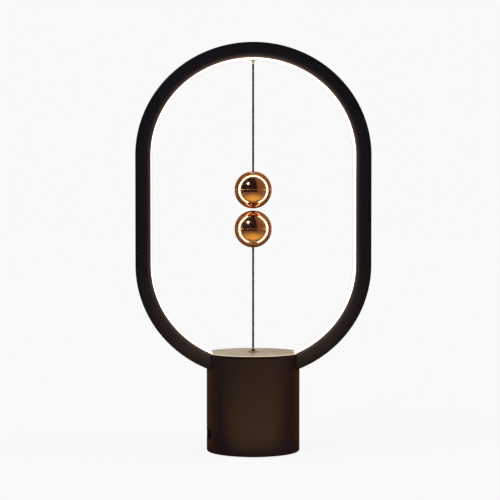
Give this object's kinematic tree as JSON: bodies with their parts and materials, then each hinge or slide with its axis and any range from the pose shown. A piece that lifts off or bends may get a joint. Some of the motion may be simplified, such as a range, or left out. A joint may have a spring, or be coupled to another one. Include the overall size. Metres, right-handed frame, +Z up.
{
  "type": "magnetic balance lamp",
  "caption": "Magnetic balance lamp: a tall lit ring on a round dark base, with copper balls on strings from above and below that hang together in mid-air to turn it on.",
  "frame": {"origin": "the middle of the footprint, on the face that the rubber foot ring rests on", "axes": "+Z is up. The ring stands in the XZ plane. -Y is the front that the picture shows, and the port is on the -X side."},
  "size_m": [0.13, 0.0516, 0.2268],
  "materials": {
    "dark_body": "satin dark brown moulding",
    "plate": "satin tan moulding of the top plate",
    "dark_inner": "plain black moulding",
    "diffuser": "milky light diffuser, lit warm white",
    "copper": "thin moulding with bright copper plating, a mirror finish",
    "cord": "braided string, dark brown and tan",
    "steel": "plain steel",
    "brass": "plain brass",
    "iron": "dark iron",
    "magnet": "nickel plated magnet",
    "rubber": "black rubber",
    "board": "green circuit board",
    "red_wire": "red insulation",
    "black_wire": "black insulation",
    "white_plastic": "white moulding"
  },
  "bodies": {
    "base": {"ballast": "iron", "base_shell": "dark_body", "board_screw_1": "steel", "board_screw_2": "steel", "bottom_cover": "dark_inner", "bracket_screw_1": "steel", "bracket_screw_2": "steel", "capacitor": "steel", "circuit_board": "board", "cord_eyelet": "dark_body", "cord_ferrule": "white_plastic", "cover_screw_1": "steel", "cover_screw_2": "steel", "cover_screw_3": "steel", "driver_chip": "dark_inner", "foot_ring": "rubber", "inductor": "iron", "led_strip_left": "white_plastic", "led_strip_right": "white_plastic", "led_wire_black": "black_wire", "led_wire_red": "red_wire", "microswitch_body": "dark_inner", "port_bezel": "dark_inner", "ring_diffuser": "diffuser", "ring_front_shell": "dark_body", "ring_rear_shell": "dark_body", "ring_saddle": "dark_inner", "ring_screw_1": "steel", "ring_screw_2": "steel", "ring_screw_3": "steel", "ring_screw_4": "steel", "switch_bracket": "white_plastic", "switch_screw_1": "steel", "switch_screw_2": "steel", "switch_terminal_1": "brass", "switch_terminal_2": "brass", "switch_wire_1": "red_wire", "switch_wire_2": "black_wire", "top_disc": "plate", "upper_cord_end": "cord", "usb_socket_shell": "steel", "usb_socket_tongue": "dark_inner"},
    "draw_rod": {"draw_rod": "white_plastic", "return_spring": "steel"},
    "switch_button": {"switch_button": "white_plastic"},
    "upper_pivot": {"upper_pivot_bead": "brass"},
    "upper_ball": {"upper_cord": "cord", "upper_ball_top_shell": "copper", "upper_ball_bottom_shell": "copper", "upper_ball_core": "white_plastic", "upper_ball_magnet": "magnet", "upper_ball_knot": "cord"},
    "lower_pivot": {"lower_pivot_bead": "brass"},
    "lower_string": {"lower_cord": "cord"},
    "lower_ball": {"lower_ball_top_shell": "copper", "lower_ball_bottom_shell": "copper", "lower_ball_core": "white_plastic", "lower_ball_magnet": "magnet", "lower_ball_knot": "cord"}
  },
  "joints": [
    {"name": "upper_ball_sway", "type": "hinge", "parent": "base", "child": "upper_pivot", "pos_m": [0, 0, 0.217], "axis": [0, 1, 0], "range_deg": [-38, 38]},
    {"name": "upper_ball_swing", "type": "hinge", "parent": "upper_pivot", "child": "upper_ball", "pos_m": [0, 0, 0.217], "axis": [1, 0, 0], "range_deg": [-75, 75]},
    {"name": "switch_pull", "type": "slide", "parent": "base", "child": "draw_rod", "axis": [0, 0, 1], "range_m": [-0.003, 0], "stiffness_N_per_m": 60, "springref_m": 0.01, "deforming": ["return_spring"]},
    {"name": "lower_ball_sway", "type": "hinge", "parent": "draw_rod", "child": "lower_pivot", "pos_m": [0, 0, 0.0565], "axis": [0, 1, 0], "range_deg": [-25, 25], "stiffness_Nm_per_rad": 0.012},
    {"name": "lower_ball_swing", "type": "hinge", "parent": "lower_pivot", "child": "lower_string", "pos_m": [0, 0, 0.0565], "axis": [1, 0, 0], "range_deg": [-25, 25], "stiffness_Nm_per_rad": 0.012},
    {"name": "lower_ball_drop", "type": "slide", "parent": "lower_string", "child": "lower_ball", "axis": [0, 0, 1], "range_m": [-0.05, 0], "deforming": ["lower_cord"]},
    {"name": "button_press", "type": "slide", "parent": "base", "child": "switch_button", "axis": [0, 1, 0], "range_m": [-0.00085, 0]}
  ],
  "couplings": [
    {"joint": "button_press", "follows": "switch_pull", "ratio": 0.26795}
  ]
}
